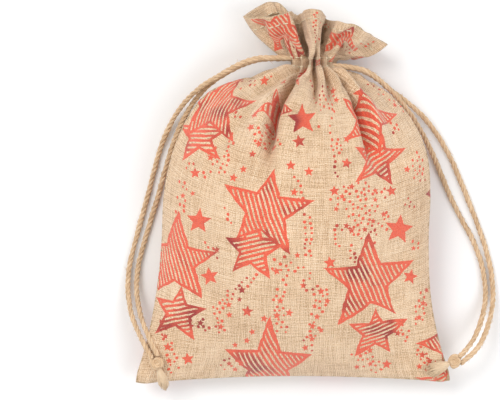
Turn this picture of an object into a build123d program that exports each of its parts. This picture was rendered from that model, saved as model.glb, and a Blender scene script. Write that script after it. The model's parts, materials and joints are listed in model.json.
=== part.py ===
"""Filled drawstring gift sack lying on its back, drawn shut, with its two jute drawcords.

Millimetres. +X to the right across the front panel, +Y from the bottom seam towards the neck, +Z up out of
the front panel. The origin is under the middle of the sack, on the surface that it lies on.
"""

from build123d import *
import math
import os

# Sack
sack_width = 130.0  # corner to corner along the bottom seam
sack_length = 155.0  # bottom seam to the highest tip of the header
crown_height = 29.0  # front panel above the side seams, at the belly
cloth = 0.8  # one layer of the jute cloth
seam_fold = 1.6  # closed cloth at the very edge, where the panels are sewn and turned
bottom_seam_height = 10.0
neck_height = 18.0  # middle of the neck above the surface

# Neck casing, which the two drawcords run through
neck_x = 8.5  # the neck is drawn up a little to the right of the middle
casing_width = 21.0
casing_height = 19.0
casing_length = 8.0
casing_end_wall = 1.5

# Header, the flared frill above the casing
header_reach = 18.5  # casing to the tip of the header
mouth_x = 9.5
mouth_width = 60.0
mouth_height = 30.0
mouth_tilt = 12.0  # degrees that the frill leans to the right
header_wall = 1.6  # the header is folded double

# Threads
thread = 0.6
hem_from_casing = 0.8  # share of the way from casing to mouth
side_thread_width = 1.4
seam_to_thread = 1.5
bottom_thread_from_seam = 7.5
bottom_thread_length = 100.0

# Filling
filling_gap = 0.4
filling_to_bottom_seam = 11.5
filling_to_casing = 7.0

# Drawcords
cord_diameter = 2.2
cord_clearance = 0.3  # all round a cord in its channel
strand_gap = 6.2  # between the centres of a cord's two strands in the casing
draw_travel = 3.0  # how far each cord can still be drawn
swing_gap = 0.25  # between a loop's end and the rounded end of its tail
knot_radius = 3.2
tuft_start_radius = 1.8
tuft_end_width = 6.4
tuft_end_height = 2.8

# Places that follow from the sizes
cord_radius = cord_diameter / 2
half_width = sack_width / 2
bottom_y = -sack_length / 2
body_length = sack_length - casing_length - header_reach
casing_start = bottom_y + body_length
casing_end = casing_start + casing_length
channel_width = cord_diameter + 2 * cord_clearance
channel_wall = (casing_length - 2 * channel_width) / 3
right_cord_y = casing_start + channel_wall + channel_width / 2
left_cord_y = casing_end - channel_wall - channel_width / 2
channel_half_height = strand_gap / 2 + cord_radius + cord_clearance
core_half_height = strand_gap / 2 - cord_radius - cord_clearance
thread_inset = (channel_wall + cord_clearance - thread) / 2  # a stitch row lies midway from edge to cord
bend_reach = casing_width / 2 - casing_end_wall - channel_half_height  # neck middle to a cord's U-bend centre
upper_strand = neck_height + strand_gap / 2
lower_strand = neck_height - strand_gap / 2

# Shape of the filled body: share of its length from the bottom seam, the left and the right side seam as
# shares of half the width, the crown as a share of the crown height, and the depth below the side seams as a
# share of the height of the seam there (over 1 where the cloth lies flat on the surface).
body_shape = (
    (0.000, 1.00, 1.00, 0.05, 0.12),
    (0.060, 0.965, 0.965, 0.30, 0.55),
    (0.130, 0.93, 0.93, 0.54, 1.05),
    (0.260, 0.89, 0.88, 0.82, 1.25),
    (0.430, 0.85, 0.88, 0.99, 1.28),
    (0.620, 0.82, 0.88, 0.98, 1.26),
    (0.750, 0.77, 0.87, 0.88, 1.18),
    (0.850, 0.68, 0.77, 0.74, 1.02),
    (0.930, 0.57, 0.61, 0.58, 0.80),
    (0.975, 0.40, 0.46, 0.45, 0.62),
)


def station(share, left, right, crown, depth):
    """Turns one row of body_shape into lengths: y, left x, right x, seam height, crown, depth."""
    seam = bottom_seam_height + (neck_height - bottom_seam_height) * share
    return (
        bottom_y + body_length * share,
        -half_width * left,
        half_width * right,
        seam,
        crown_height * crown,
        seam * depth,
    )


neck_station = (
    casing_start,
    neck_x - casing_width / 2,
    neck_x + casing_width / 2,
    neck_height,
    casing_height / 2,
    casing_height / 2,
)
stations = [station(*row) for row in body_shape] + [neck_station]


def station_at(y):
    """The body's section at y, on the straight between the stations on each side of it."""
    for low, high in zip(stations, stations[1:]):
        if low[0] <= y <= high[0]:
            share = (y - low[0]) / (high[0] - low[0])
            return tuple(a + (b - a) * share for a, b in zip(low, high))
    return stations[-1]


def stations_between(start, end):
    """The body's sections from start to end, both included."""
    inner = [s for s in stations if start < s[0] < end]
    return [station_at(start)] + inner + [station_at(end)]


def across(y):
    """The plane across the sack at y: its local x is +X and its local y is +Z."""
    return Plane.XZ.offset(-y)


def half_form(sections, inset, rises):
    """A half body: at each section a straight along the side seams and an arc that rises over it, or sinks."""
    with BuildPart() as half:
        for (y, left, right, seam, crown, depth), rise in zip(sections, rises):
            low = (left + inset, seam)
            high = (right - inset, seam)
            with BuildSketch(across(y)):
                with BuildLine():
                    ThreePointArc(low, ((left + right) / 2, seam + rise), high)
                    Line(high, low)
                make_face()
        loft(ruled=True)
    return half


def front_half(sections, inset, shrink):
    """The space over the side seams, drawn in by inset at the seams and by shrink at the crown."""
    return half_form(sections, inset, [max(section[4] - shrink, thread) for section in sections])


def back_half(sections, inset, shrink):
    """The space under the side seams, cut flat at shrink above the surface that the sack lies on."""
    form = half_form(sections, inset, [-max(section[5] - shrink, thread) for section in sections])
    with BuildPart() as half:
        add(form.part)
        split(bisect_by=Plane.XY.offset(shrink), keep=Keep.TOP)
    return half


def hollow_panel(half):
    """A panel: the outer form of half, less the same form one cloth layer in."""
    inside = stations_between(bottom_y + seam_fold + casing_end_wall, casing_start - casing_end_wall)
    cavity = half(inside, seam_fold, cloth)
    with BuildPart() as panel:
        add(half(stations, 0, 0).part)
        add(cavity.part, mode=Mode.SUBTRACT)
    return panel


def make_filling():
    """Crumpled tissue that fills the body, clear of the panels and of the seam threads."""
    inset = seam_fold + seam_to_thread + side_thread_width + filling_gap
    shrink = cloth + filling_gap
    inside = stations_between(bottom_y + filling_to_bottom_seam, casing_start - filling_to_casing)
    with BuildPart() as filling:
        add(front_half(inside, inset, shrink).part)
        add(back_half(inside, inset, shrink).part)
    return filling


def casing_half(keep):
    """Half of the neck casing: gathered cloth with one U-shaped channel for each drawcord."""
    with BuildPart() as half:
        with BuildSketch(across(casing_start)):
            with Locations((neck_x, neck_height)):
                Ellipse(casing_width / 2, casing_height / 2)
        extrude(amount=-casing_length)
        for cord_y, exit_side in ((left_cord_y, -1), (right_cord_y, 1)):
            bend_x = neck_x - exit_side * bend_reach
            core_x = bend_x + exit_side * draw_travel
            exit_x = neck_x + exit_side * casing_width
            with BuildSketch(across(cord_y - channel_width / 2)):
                with Locations(((bend_x + exit_x) / 2, neck_height)):
                    Rectangle(abs(exit_x - bend_x), 2 * channel_half_height)
                with Locations((bend_x, neck_height)):
                    Circle(channel_half_height)
                with Locations(((core_x + exit_x) / 2, neck_height)):
                    Rectangle(abs(exit_x - core_x), 2 * core_half_height, mode=Mode.SUBTRACT)
                with Locations((core_x, neck_height)):
                    Circle(core_half_height, mode=Mode.SUBTRACT)
            extrude(amount=-channel_width, mode=Mode.SUBTRACT)
        split(bisect_by=Plane.XY.offset(neck_height), keep=keep)
    return half


def header_plane(share):
    """The plane across the header at a share of the way from the casing to the mouth, with its half sizes."""
    tilt = math.radians(mouth_tilt)
    mouth_y = sack_length / 2 - math.sin(tilt) * mouth_width / 2
    wide = Vector(casing_width / 2, 0, 0) * (1 - share)
    wide += Vector(math.cos(tilt), -math.sin(tilt), 0) * (mouth_width / 2 * share)
    origin = Vector(neck_x, casing_end, neck_height) * (1 - share) + Vector(mouth_x, mouth_y, neck_height) * share
    tall = casing_height / 2 * (1 - share) + mouth_height / 2 * share
    return Plane(origin=origin, x_dir=wide, z_dir=wide.cross(Vector(0, 0, 1))), wide.length, tall


def header_form(start_share, inset):
    """The flared form from start_share of the way up the header to its mouth, drawn in by inset."""
    with BuildPart() as form:
        for share in (start_share, 1.0):
            plane, wide, tall = header_plane(share)
            with BuildSketch(plane):
                Ellipse(wide - inset, tall - inset)
        loft(ruled=True)
    return form


def header_half(keep):
    """Half of the header: a double layer of cloth around the open mouth."""
    with BuildPart() as half:
        add(header_form(0, 0).part)
        add(header_form(0.12, header_wall).part, mode=Mode.SUBTRACT)
        split(bisect_by=Plane.XY.offset(neck_height), keep=keep)
    return half


def make_casing_thread():
    """The two stitch rows that close the casing, above and below the cords."""
    with BuildPart() as rows:
        for y in (casing_start + thread_inset, casing_end - thread_inset - thread):
            with BuildSketch(across(y)):
                with Locations((neck_x, neck_height)):
                    Ellipse(casing_width / 2 + thread, casing_height / 2 + thread)
                    Ellipse(casing_width / 2, casing_height / 2, mode=Mode.SUBTRACT)
            extrude(amount=-thread)
    return rows


def make_hem_thread():
    """The stitch row near the mouth, lying on the outside of the header."""
    plane, wide, tall = header_plane(hem_from_casing)
    with BuildPart() as row:
        with BuildSketch(plane):
            Ellipse(wide + 2 * thread, tall + 2 * thread)
        extrude(amount=thread)
        add(header_form(0, 0).part, mode=Mode.SUBTRACT)
    return row


def side_thread(side):
    """The overlocked thread inside one side seam. side is -1 on the left and 1 on the right."""
    first = stations[2][0]
    last = stations[-2][0]
    with BuildPart() as strip:
        for y, left, right, seam, crown, depth in stations_between(first, last):
            edge = left if side < 0 else right
            middle = edge - side * (seam_fold + seam_to_thread + side_thread_width / 2)
            with BuildSketch(across(y)):
                with Locations((middle, seam)):
                    Rectangle(side_thread_width, thread)
        loft(ruled=True)
    return strip


def make_bottom_thread():
    """The overlocked thread inside the bottom seam."""
    y = bottom_y + bottom_thread_from_seam
    with BuildPart() as strip:
        with Locations((0, y, station_at(y)[3])):
            Box(bottom_thread_length, side_thread_width, thread)
    return strip


# Drawcord routes. Each tail starts on its swing axis, where the loop ends, and ends in its knot.
lying = cord_radius + 0.1  # the height of a cord's middle where it lies on the surface
left_swing = (-30.0, 50.0)
left_upper_z = 15.2
left_lower_z = 11.0
right_swing = (40.5, 43.8)
right_upper_z = 14.8
right_lower_z = 10.6

left_loop_upper = [(-18.5, 56.4, 19.8), (-8.0, left_cord_y, upper_strand)]
left_loop_lower = [(-8.0, left_cord_y, lower_strand), (-18.0, 55.6, 15.0)]
right_loop_upper = [(32.6, 50.4, 19.2), (24.6, right_cord_y, upper_strand)]
right_loop_lower = [(24.6, right_cord_y, lower_strand), (32.8, 50.2, 14.4)]

left_outer_tail = [
    (*left_swing, left_upper_z),
    (-40.5, 44.0, 9.2),
    (-49.5, 34.0, 3.4),
    (-56.0, 19.5, lying),
    (-60.4, 1.5, lying),
    (-65.6, -17.0, lying),
    (-69.8, -34.0, 1.4),
    (-68.4, -49.5, 5.4),
    (-63.0, -61.0, 12.6),
    (-58.6, -68.6, 15.8),
]
left_inner_tail = [
    (*left_swing, left_lower_z),
    (-39.2, 42.6, 6.4),
    (-46.8, 31.0, 2.2),
    (-52.4, 15.5, lying),
    (-56.8, -1.5, lying),
    (-62.0, -18.0, lying),
    (-66.0, -33.5, 1.6),
    (-65.0, -47.5, 6.4),
    (-60.4, -59.4, 13.6),
    (-56.2, -67.3, 15.9),
]
right_inner_tail = [
    (*right_swing, right_upper_z),
    (47.8, 35.9, 9.4),
    (54.8, 25.6, 4.8),
    (60.8, 13.2, 1.8),
    (65.4, 1.4, lying),
    (70.6, -9.4, lying),
    (76.4, -19.4, lying),
    (80.6, -31.6, lying),
    (81.6, -44.2, 2.6),
    (78.6, -55.2, 7.2),
    (74.2, -63.2, 11.4),
    (69.4, -68.0, 12.6),
]
right_outer_tail = [
    (*right_swing, right_lower_z),
    (50.4, 37.2, 6.6),
    (59.0, 28.4, 2.8),
    (66.4, 16.4, lying),
    (71.8, 3.4, lying),
    (76.8, -9.4, lying),
    (81.2, -21.4, lying),
    (84.2, -33.8, lying),
    (84.6, -46.4, 3.0),
    (81.2, -57.8, 8.0),
    (76.4, -66.0, 11.8),
    (69.9, -70.6, 12.7),
]
left_knot_centre = (-56.6, -70.2, 15.8)
left_tuft_tip = (-53.0, -81.6, 14.2)
right_knot_centre = (67.4, -69.6, 12.6)
right_tuft_tip = (55.6, -74.4, 13.7)


def bend_radii(points):
    """The radius at each inner point: 0.45 of the shorter run there, over the tangent of half the turn."""
    radii = []
    for before, point, after in zip(points, points[1:], points[2:]):
        arriving = Vector(*point) - Vector(*before)
        leaving = Vector(*after) - Vector(*point)
        half_turn = math.radians(arriving.get_angle(leaving)) / 2
        radii.append(0.45 * min(arriving.length, leaving.length) / math.tan(half_turn))
    return radii


def cord_tube(name, points, radii, round_start):
    """A cord's plain solid: its section swept along straight runs joined by tangent arcs."""
    with BuildPart() as tube:
        with BuildLine() as route:
            FilletPolyline(*points, radius=radii)
        with BuildSketch(Plane(origin=points[0], z_dir=Vector(*points[1]) - Vector(*points[0]))):
            Circle(cord_radius)
        sweep()
        if round_start:
            with Locations(points[0]):
                Sphere(cord_radius)
    length = route.wires()[0].length
    ends = 2 * math.pi * cord_radius**3 / 3 if round_start else 0
    ratio = (tube.part.volume - ends) / (math.pi * cord_radius**2 * length)
    shown = " ".join(f"{radius:.1f}" for radius in radii)
    print(f"{name}: length {length:.1f}, volume over section times length {ratio:.4f}, radii {shown}")
    return tube


def short_of(swing, height, towards):
    """The end of a loop: just clear of the rounded end of the tail that turns on the swing axis."""
    axis_point = Vector(*swing, height)
    return axis_point + (Vector(*towards) - axis_point).normalized() * (cord_radius + swing_gap)


def cord_loop(name, swing, upper_z, lower_z, upper, lower, cord_y, exit_side):
    """A drawcord from its swing axis into the casing, round the U-bend and back out."""
    far_x = neck_x - exit_side * (bend_reach + strand_gap / 2)
    bend = [(far_x, cord_y, upper_strand), (far_x, cord_y, lower_strand)]
    start = short_of(swing, upper_z, upper[0])
    end = short_of(swing, lower_z, lower[-1])
    points = [tuple(start), *upper, *bend, *lower, tuple(end)]
    radii = bend_radii(points)
    corner = len(upper)  # the first of the U-bend's two corners
    radii[corner] = radii[corner + 1] = strand_gap / 2 - cord_clearance / 2
    return cord_tube(name, points, radii, round_start=False)


def make_knot(centre):
    """An end knot, drawn up tight on both strands."""
    with BuildPart() as knot:
        with Locations(centre):
            Sphere(knot_radius)
    return knot


def make_tuft(centre, tip):
    """The frayed end beyond a knot, which widens and flattens towards its tip."""
    way = Vector(*tip) - Vector(*centre)
    side = way.cross(Vector(0, 0, 1))
    start = Vector(*centre) + way.normalized() * (knot_radius - 1.0)
    with BuildPart() as tuft:
        with BuildSketch(Plane(origin=start, x_dir=side, z_dir=way)):
            Circle(tuft_start_radius)
        with BuildSketch(Plane(origin=tip, x_dir=side, z_dir=way)):
            Ellipse(tuft_end_width / 2, tuft_end_height / 2)
        loft(ruled=True)
    return tuft


nodes = {
    "front_panel": hollow_panel(front_half),
    "back_panel": hollow_panel(back_half),
    "front_casing": casing_half(Keep.TOP),
    "back_casing": casing_half(Keep.BOTTOM),
    "front_header": header_half(Keep.TOP),
    "back_header": header_half(Keep.BOTTOM),
    "casing_thread": make_casing_thread(),
    "hem_thread": make_hem_thread(),
    "left_seam_thread": side_thread(-1),
    "right_seam_thread": side_thread(1),
    "bottom_seam_thread": make_bottom_thread(),
    "tissue_filling": make_filling(),
    "left_cord_loop": cord_loop(
        "left_cord_loop",
        left_swing,
        left_upper_z,
        left_lower_z,
        left_loop_upper,
        left_loop_lower,
        left_cord_y,
        -1,
    ),
    "right_cord_loop": cord_loop(
        "right_cord_loop",
        right_swing,
        right_upper_z,
        right_lower_z,
        right_loop_upper,
        right_loop_lower,
        right_cord_y,
        1,
    ),
    "left_knot": make_knot(left_knot_centre),
    "right_knot": make_knot(right_knot_centre),
    "left_tuft": make_tuft(left_knot_centre, left_tuft_tip),
    "right_tuft": make_tuft(right_knot_centre, right_tuft_tip),
}
for name, points in (
    ("left_outer_tail", left_outer_tail),
    ("left_inner_tail", left_inner_tail),
    ("right_inner_tail", right_inner_tail),
    ("right_outer_tail", right_outer_tail),
):
    nodes[name] = cord_tube(name, points, bend_radii(points), round_start=True)

os.makedirs("parts", exist_ok=True)
for name, node in nodes.items():
    node.part.label = name
    export_step(node.part, f"parts/{name}.step")
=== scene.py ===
"""Fabric gift sack: a filled pouch of printed jute cloth lying on its back, with two jute drawcords."""

import json
import math
from functools import partialmethod

import bpy
import numpy as np
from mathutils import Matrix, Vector

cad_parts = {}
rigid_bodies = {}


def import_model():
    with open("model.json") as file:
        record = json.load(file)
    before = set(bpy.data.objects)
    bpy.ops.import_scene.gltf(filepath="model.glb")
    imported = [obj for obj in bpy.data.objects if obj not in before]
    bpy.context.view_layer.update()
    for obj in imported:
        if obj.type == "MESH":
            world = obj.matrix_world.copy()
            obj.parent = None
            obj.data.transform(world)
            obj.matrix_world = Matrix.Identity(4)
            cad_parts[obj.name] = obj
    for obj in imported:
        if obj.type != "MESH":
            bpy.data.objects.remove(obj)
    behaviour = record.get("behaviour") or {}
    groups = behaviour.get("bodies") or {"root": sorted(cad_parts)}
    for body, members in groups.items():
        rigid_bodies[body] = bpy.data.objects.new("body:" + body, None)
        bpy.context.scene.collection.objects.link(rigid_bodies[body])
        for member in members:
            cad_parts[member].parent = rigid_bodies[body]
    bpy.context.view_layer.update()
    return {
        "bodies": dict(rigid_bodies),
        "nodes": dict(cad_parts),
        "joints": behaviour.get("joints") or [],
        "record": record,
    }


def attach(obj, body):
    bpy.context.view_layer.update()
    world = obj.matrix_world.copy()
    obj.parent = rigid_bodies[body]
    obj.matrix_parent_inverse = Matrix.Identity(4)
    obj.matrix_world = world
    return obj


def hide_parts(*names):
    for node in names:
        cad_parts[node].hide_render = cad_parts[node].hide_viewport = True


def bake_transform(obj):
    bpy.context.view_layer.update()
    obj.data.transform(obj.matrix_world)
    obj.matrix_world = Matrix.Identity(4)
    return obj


MM = 0.001

# The cloth of one panel as it was cut and sewn, in millimetres, bottom seam at 0
FLAT_WIDTH = 130.0
BODY = 152.0
CASING = 8.0
HEADER = 27.0
FLAT_HEIGHT = BODY + CASING + HEADER
HEM_LINE = FLAT_HEIGHT - 6.0
CLOTH = 0.7  # thickness
UV_SCALE = 100.0  # millimetres of flat cloth for each unit of its UV map

# The grid of a panel, and how it is simulated
COLUMNS = 62
ROWS = 88
FINE = 2.6  # grid lines of the finished cloth for each one of the simulated cloth
SIM_SCALE = 0.01  # the cloth is simulated ten times its size, in metres for each millimetre
SIM_FRAMES = 34

# The drawn-up neck: its place, its half width and half height, and the number and depth of its pleats
NECK_X = 8.5
NECK_Z = 18.0
NECK_START = 52.4
NECK_END = 56.4
PINCH_WIDE = 6.6
PINCH_TALL = 6.0
PLEATS = 14
PLEAT = 3.6
PLEAT_SHIFT = 0.143  # where the first pleat stands, as a share of the panel's width
FOLDS_FROM = 98.0  # height on the flat cloth above which it gathers in folds
# The folds of the front panel: the end at the neck, the tip, depth, width, and the side that stands up
FRONT_FOLDS = (
    ((-30, 153), (-16, 102), 12.0, 3.4, -1),
    ((38, 153), (35, 105), 11.0, 3.6, 1),
    ((4, 153), (3, 133), 5.0, 2.6, 1),
)

# Routes of the drawcords from inside the casing to the knots, in millimetres
CORD = 2.2  # thickness
LIE = 1.2  # height of a cord's middle where it lies on the surface
# Where the two tails swing, seen from above
LEFT_SWING = (-30, 50)
RIGHT_SWING = (40.5, 43.8)
LEFT_OUTER = [
    (3, 56.6, 20.6), (-8, 56.8, 21.1), (-18.5, 56.4, 19.8), (-30, 50, 15.2), (-40.5, 44, 9.2),
    (-49.5, 34, 3.4), (-56, 19.5, LIE), (-60.4, 1.5, LIE), (-65.6, -17, LIE), (-69.8, -34, 1.4),
    (-68.4, -49.5, 5.4), (-63, -61, 12.6), (-58.6, -68.6, 15.8),
]
LEFT_INNER = [
    (3, 56.6, 15.2), (-8, 56.8, 14.9), (-18, 55.6, 15), (-30, 50, 11), (-39.2, 42.6, 6.4), (-46.8, 31, 2.2),
    (-52.4, 15.5, LIE), (-56.8, -1.5, LIE), (-62, -18, LIE), (-66, -33.5, 1.6), (-65, -47.5, 6.4),
    (-60.4, -59.4, 13.6), (-56.2, -67.3, 15.9),
]
RIGHT_INNER = [
    (14, 53.4, 20.6), (24.6, 53.2, 21.1), (32.6, 50.4, 19.2), (40.5, 43.8, 14.8), (47.8, 35.9, 9.4),
    (54.8, 25.6, 4.8), (60.8, 13.2, 1.8), (65.4, 1.4, LIE), (70.6, -9.4, LIE), (76.4, -19.4, LIE),
    (80.6, -31.6, LIE), (81.6, -44.2, 2.6), (78.6, -55.2, 7.2), (74.2, -63.2, 11.4), (69.4, -68, 12.6),
]
RIGHT_OUTER = [
    (14, 53.4, 15.2), (24.6, 53.2, 14.9), (32.8, 50.2, 14.4), (40.5, 43.8, 10.6), (50.4, 37.2, 6.6),
    (59, 28.4, 2.8), (66.4, 16.4, LIE), (71.8, 3.4, LIE), (76.8, -9.4, LIE), (81.2, -21.4, LIE),
    (84.2, -33.8, LIE), (84.6, -46.4, 3), (81.2, -57.8, 8), (76.4, -66, 11.8), (69.9, -70.6, 12.7),
]
LEFT_KNOT = (-56.6, -70.2, 15.8)
LEFT_TIP = (-53, -81.6, 14.2)
RIGHT_KNOT = (67.4, -69.6, 12.6)
RIGHT_TIP = (55.6, -74.4, 15)
TUFT_FIBRES = 190

# Lines that the cloth follows from the bottom seam to the neck, in millimetres
LEFT_SEAM = [
    (-67.4, -80.4, 10), (-61.6, -61, 11.5), (-57.6, -40, 14), (-55.6, -20, 16), (-54.4, 0, 17),
    (-50.8, 17, 18), (-44.8, 31, 18.5), (-35, 43, 18.5), (-15, 51, 18.5), (-0.5, 51.8, 18),
]
RIGHT_SEAM = [
    (67.4, -79.6, 10), (61.6, -61, 11.5), (58, -42, 14), (57, -20, 16), (57.5, 0, 17), (56.5, 15, 18),
    (51, 29, 18.5), (41, 41, 18.5), (28, 49, 18.5), (17.5, 51.4, 18),
]
FRONT_MIDDLE = [
    (0, -76.8, 10.5), (0, -70.4, 19), (0.5, -56.5, 30), (1, -35, 39), (2, -10, 43.5), (4, 15, 43),
    (6, 33, 39), (8, 43, 33.5), (8.5, 49, 30), (8.5, 51.4, 27.5),
]
BACK_MIDDLE = [
    (0, -76.8, 9.5), (0, -68, 3), (0, -56, 0.8), (0, -20, 0.6), (2, 10, 0.6), (4, 30, 0.8), (6, 42, 3),
    (8.5, 49, 7), (8.5, 51.4, 8.5),
]
# The lips of the open mouth from the left seam to the right seam, in millimetres: wide lobes with folds
# between them, which shape the frill
FRONT_LIP = [
    (-20.8, 74, 17), (-17.5, 72.6, 22), (-11.5, 73, 27.5), (-5.5, 74.6, 28.5), (-2.4, 75.6, 25),
    (-1.2, 75, 17), (0.2, 74.6, 11), (3.4, 75.4, 17), (4.6, 76.6, 25), (7.5, 77.2, 28.5), (11.2, 76.4, 27),
    (13, 75, 20), (14.4, 73.6, 12), (16.8, 72.6, 17), (19.4, 71.8, 24), (24.5, 70, 28), (29.5, 67.4, 27),
    (33, 65.4, 22), (36.5, 63.8, 18.5), (39.6, 62.6, 16.5),
]
BACK_LIP = [
    (-20.8, 74, 17), (-17.4, 77, 12), (-12, 80.2, 9), (-6.6, 81, 9), (-2.5, 78.2, 13), (0.5, 75, 8),
    (4, 73.6, 2.5), (9, 74.4, 1.5), (13, 73.8, 6), (15.5, 72, 12), (18.5, 70.4, 7), (22.5, 69.4, 2.5),
    (28, 66.6, 1.5), (32.5, 64, 6), (36, 62.4, 11), (39.6, 62.6, 16.5),
]
# How far the frill's sides fan out on their way from the neck to the mouth
LEFT_FAN = (-1, -3.8, 0)
RIGHT_FAN = (0.8, -5.6, 0)

# Dark, middle and light tone of the cloth's two sides and of the jute cords
FRONT_TONES = ((0.4, 0.22, 0.1), (0.79, 0.55, 0.34), (0.94, 0.76, 0.57))
REVERSE_TONES = ((0.34, 0.21, 0.1), (0.58, 0.41, 0.24), (0.75, 0.58, 0.39))
JUTE_TONES = ((0.36, 0.21, 0.1), (0.68, 0.47, 0.28), (0.87, 0.68, 0.47))
FRAYED_TONES = ((0.52, 0.35, 0.19), (0.78, 0.58, 0.38), (0.9, 0.75, 0.56))

# Cosine and sine of 36 degrees, half the angle between two tips of a star
STAR_COS = 0.809017
STAR_SIN = 0.587785


# ---------------------------------------------------------------- shapes

def smoothstep(low, high, x):
    """From 0 at low to 1 at high, level at both ends."""
    t = np.clip((x - low) / (high - low), 0, 1)
    return t * t * (3 - 2 * t)


def smooth_path(points, count):
    """count points, evenly spaced, along a smooth line through points."""
    p = np.array(points, float)
    p = np.vstack([2 * p[0] - p[1], p, 2 * p[-1] - p[-2]])
    t = np.linspace(0, 1, 24, endpoint=False)[:, None]
    spans = []
    for a, b, c, d in zip(p, p[1:], p[2:], p[3:]):
        square = (2 * a - 5 * b + 4 * c - d) * t**2
        cube = (3 * b - a - 3 * c + d) * t**3
        spans.append(0.5 * (2 * b + (c - a) * t + square + cube))
    return evenly(np.vstack(spans + [p[-2][None]]), count)


def evenly(line, count):
    """count points, evenly spaced, along a line of points."""
    run = distances(line)
    return points_at(line, run, np.linspace(0, run[-1], count))


def points_at(line, run, at):
    """The points of a line where run, its own measure, has the values at."""
    return np.stack([np.interp(at, run, line[:, k]) for k in range(line.shape[1])], -1)


def distances(line):
    """How far along a line each of its points lies."""
    return np.r_[0, np.cumsum(np.linalg.norm(np.diff(line, axis=0), axis=1))]


def line_length(line):
    return float(np.linalg.norm(np.diff(line, axis=0), axis=1).sum())


def arc_row(left, middle, right, t):
    """A row of cloth from left to right that bulges through middle as an arc of a circle does."""
    half = np.linalg.norm(right - left) / 2
    centre = (left + right) / 2
    rise = np.linalg.norm(middle - centre)
    turn = max(2 * math.atan2(rise, half), 0.05)
    angle = turn * (2 * t - 1)
    along = np.sin(angle) / math.sin(turn)
    up = (np.cos(angle) - math.cos(turn)) / (1 - math.cos(turn))
    return centre + along[:, None] * (right - left) / 2 + up[:, None] * (middle - centre)


def frames(line):
    """Unit tangents and two steady sideways directions at each point of a line."""
    tangent = np.gradient(line, axis=0)
    tangent /= np.linalg.norm(tangent, axis=1, keepdims=True)
    side = np.cross(tangent[0], (0.0, 0.0, 1.0))
    if np.linalg.norm(side) < 1e-3:
        side = np.cross(tangent[0], (1.0, 0.0, 0.0))
    sides = []
    for t in tangent:
        side = side - t * side.dot(t)
        side = side / np.linalg.norm(side)
        sides.append(side)
    sides = np.array(sides)
    return tangent, sides, np.cross(tangent, sides)


def add_tube(parts, line, radii, around, lane=0.0):
    """Adds a closed tube along line to parts: its points, faces and (length, turn) coordinates."""
    _, side, up = frames(line)
    turn = np.arange(around) / around * 2 * math.pi
    ring = np.cos(turn)[None, :, None] * side[:, None] + np.sin(turn)[None, :, None] * up[:, None]
    points = line[:, None] + ring * np.asarray(radii)[:, None, None]
    base = sum(len(p) for p in parts["points"])
    n = len(line)
    index = base + np.arange(n * around).reshape(n, around)
    run = distances(line)
    for i in range(n - 1):
        for j in range(around):
            k = (j + 1) % around
            parts["faces"].append((index[i, j], index[i, k], index[i + 1, k], index[i + 1, j]))
            u = lane + j / around
            w = lane + (j + 1) / around
            parts["uv"].append(((run[i], u), (run[i], w), (run[i + 1], w), (run[i + 1], u)))
    for end, along in ((index[0][::-1], run[0]), (index[-1], run[-1])):
        parts["faces"].append(tuple(end))
        parts["uv"].append(tuple((along, lane + j / around) for j in range(around)))
    parts["points"].append(points.reshape(-1, 3))


def new_parts():
    return {"points": [], "faces": [], "uv": []}


def tube_object(name, parts, material):
    """One smooth mesh object, in metres, from the tubes gathered in parts (millimetres)."""
    mesh = new_mesh(name, np.vstack(parts["points"]), [tuple(map(int, face)) for face in parts["faces"]])
    layer = mesh.uv_layers.new(name="lay")
    lengths = np.array([corner for face in parts["uv"] for corner in face], float)
    layer.data.foreach_set("uv", (lengths * (0.1, 1.0)).ravel())
    mesh.shade_smooth()
    mesh.materials.append(material)
    return place(name, mesh)


def new_mesh(name, points, faces, scale=MM):
    """A mesh from points in millimetres, with so many metres for each of them."""
    mesh = bpy.data.meshes.new(name)
    mesh.from_pydata((points * scale).tolist(), [], faces)
    return mesh


def place(name, data):
    thing = bpy.data.objects.new(name, data)
    bpy.context.scene.collection.objects.link(thing)
    return thing


# ---------------------------------------------------------------- cords

def spline_line(name, points):
    """The smooth line that has these control points, as points close together."""
    curve = bpy.data.curves.new(name, "CURVE")
    curve.dimensions = "3D"
    curve.resolution_u = 32
    spline = curve.splines.new("NURBS")
    spline.points.add(len(points) - 1)
    for target, point in zip(spline.points, points):
        target.co = (point[0] * MM, point[1] * MM, point[2] * MM, 1.0)
    spline.order_u = 3
    spline.use_endpoint_u = True
    holder = place(name, curve)
    bpy.context.view_layer.update()
    mesh = bpy.data.meshes.new_from_object(holder)
    line = np.array([v.co[:] for v in mesh.vertices]) / MM
    bpy.data.objects.remove(holder)
    bpy.data.meshes.remove(mesh)
    return line


def add_fibres(parts, line, count, reach, rng):
    """Adds loose fibres that stand off a cord: thin, tapered and a little curled."""
    tangent, side, up = frames(line)
    for _ in range(count):
        k = int(rng.integers(2, len(line) - 2))
        turn = rng.uniform(0, 2 * math.pi)
        out = side[k] * math.cos(turn) + up[k] * math.sin(turn)
        way = tangent[k] * rng.choice((-1.0, 1.0)) * rng.uniform(0.6, 1.3) + out * rng.uniform(0.15, 0.8)
        way /= np.linalg.norm(way)
        curl = np.cross(way, out) * rng.uniform(-0.5, 0.5) + out * rng.uniform(-0.35, 0.3)
        length = rng.uniform(0.4, 1.0) * reach
        t = np.linspace(0, 1, 6)[:, None]
        hair = line[k] + out * CORD * 0.42 + way * length * t + curl * length * t**2
        hair[:, 2] = np.maximum(hair[:, 2], 0.12)
        add_tube(parts, hair, np.linspace(0.075, 0.025, 6), 4, lane=rng.uniform(0, 1))


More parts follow.
